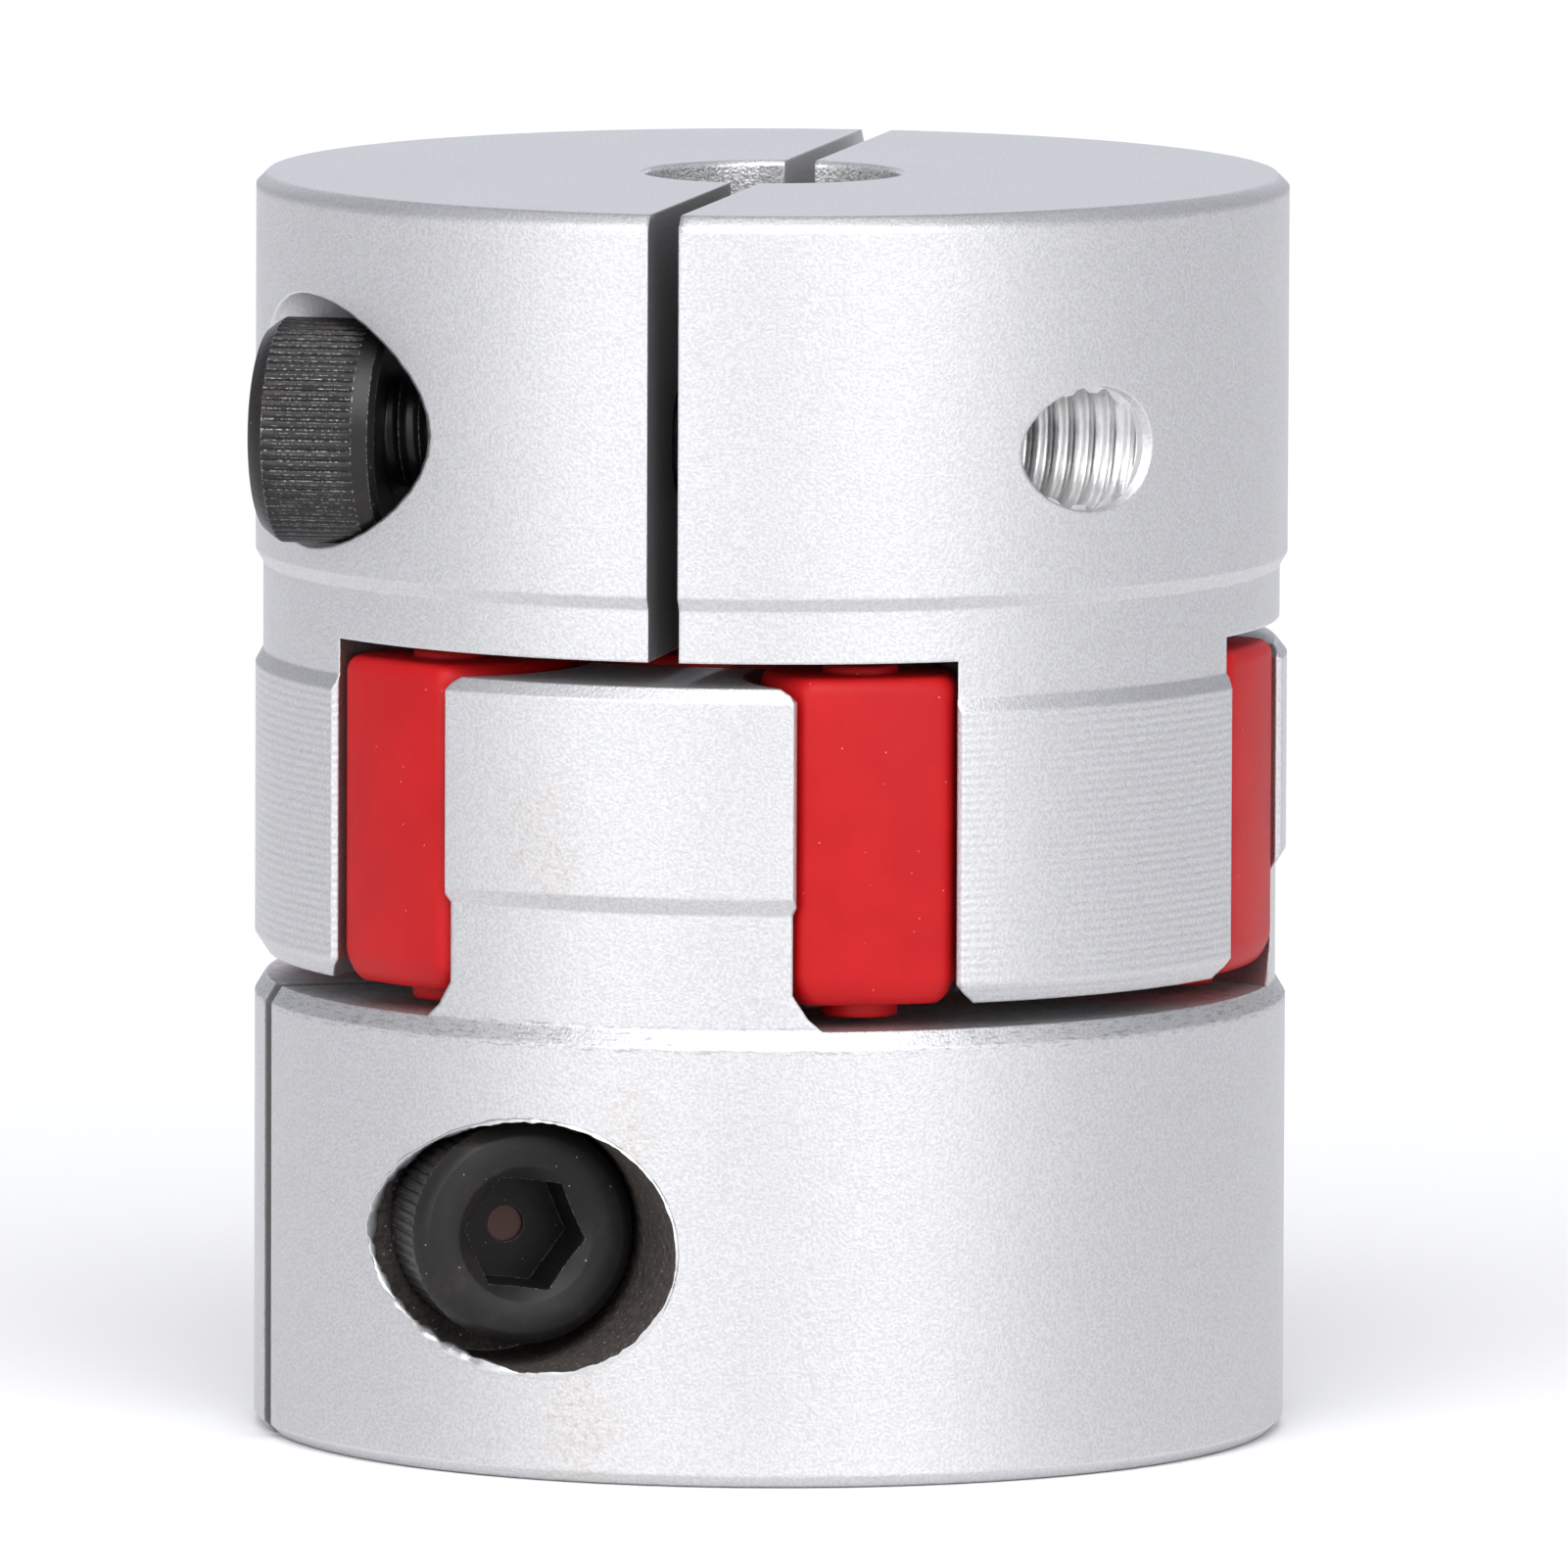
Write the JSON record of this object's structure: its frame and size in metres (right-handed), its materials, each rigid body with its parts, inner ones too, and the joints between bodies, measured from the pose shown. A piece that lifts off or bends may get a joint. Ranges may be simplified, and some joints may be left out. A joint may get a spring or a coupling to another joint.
{
  "type": "jaw coupling",
  "caption": "Curved-jaw shaft coupling: two slit aluminium clamp hubs with interlocking jaws, a red elastic spider between them and a clamp screw across each hub.",
  "frame": {"origin": "on the shaft axis, in the lower hub's end face", "axes": "+Z along the shaft axis from the lower hub to the upper hub; the side with the lower clamp screw's head faces -Y"},
  "size_m": [0.0401, 0.04, 0.0487],
  "materials": {
    "anodised_aluminium": "bead-blasted and clear anodised, satin",
    "red_polyurethane": "moulded, satin",
    "black_oxide_steel": "black oxide, satin"
  },
  "bodies": {
    "lower_half": {"lower_hub": "anodised_aluminium"},
    "elastic_star": {"spider": "red_polyurethane"},
    "upper_half": {"upper_hub": "anodised_aluminium"},
    "lower_screw": {"lower_clamp_screw": "black_oxide_steel"},
    "upper_screw": {"upper_clamp_screw": "black_oxide_steel"}
  },
  "joints": [
    {"name": "wind_up", "type": "hinge", "parent": "lower_half", "child": "elastic_star", "pos_m": [0, 0, 0.0245], "axis": [0, 0, 1], "range_deg": [-0.65, 0.65]},
    {"name": "pull_off", "type": "slide", "parent": "elastic_star", "child": "upper_half", "axis": [0, 0, 1], "range_m": [0, 0.0125]},
    {"name": "lower_screw_travel", "type": "slide", "parent": "lower_half", "child": "lower_screw", "axis": [0.2419, -0.9703, 0], "range_m": [0, 0.0064]},
    {"name": "upper_screw_travel", "type": "slide", "parent": "upper_half", "child": "upper_screw", "axis": [-0.9781, 0.2079, 0], "range_m": [-0.004, 0.0024]}
  ]
}
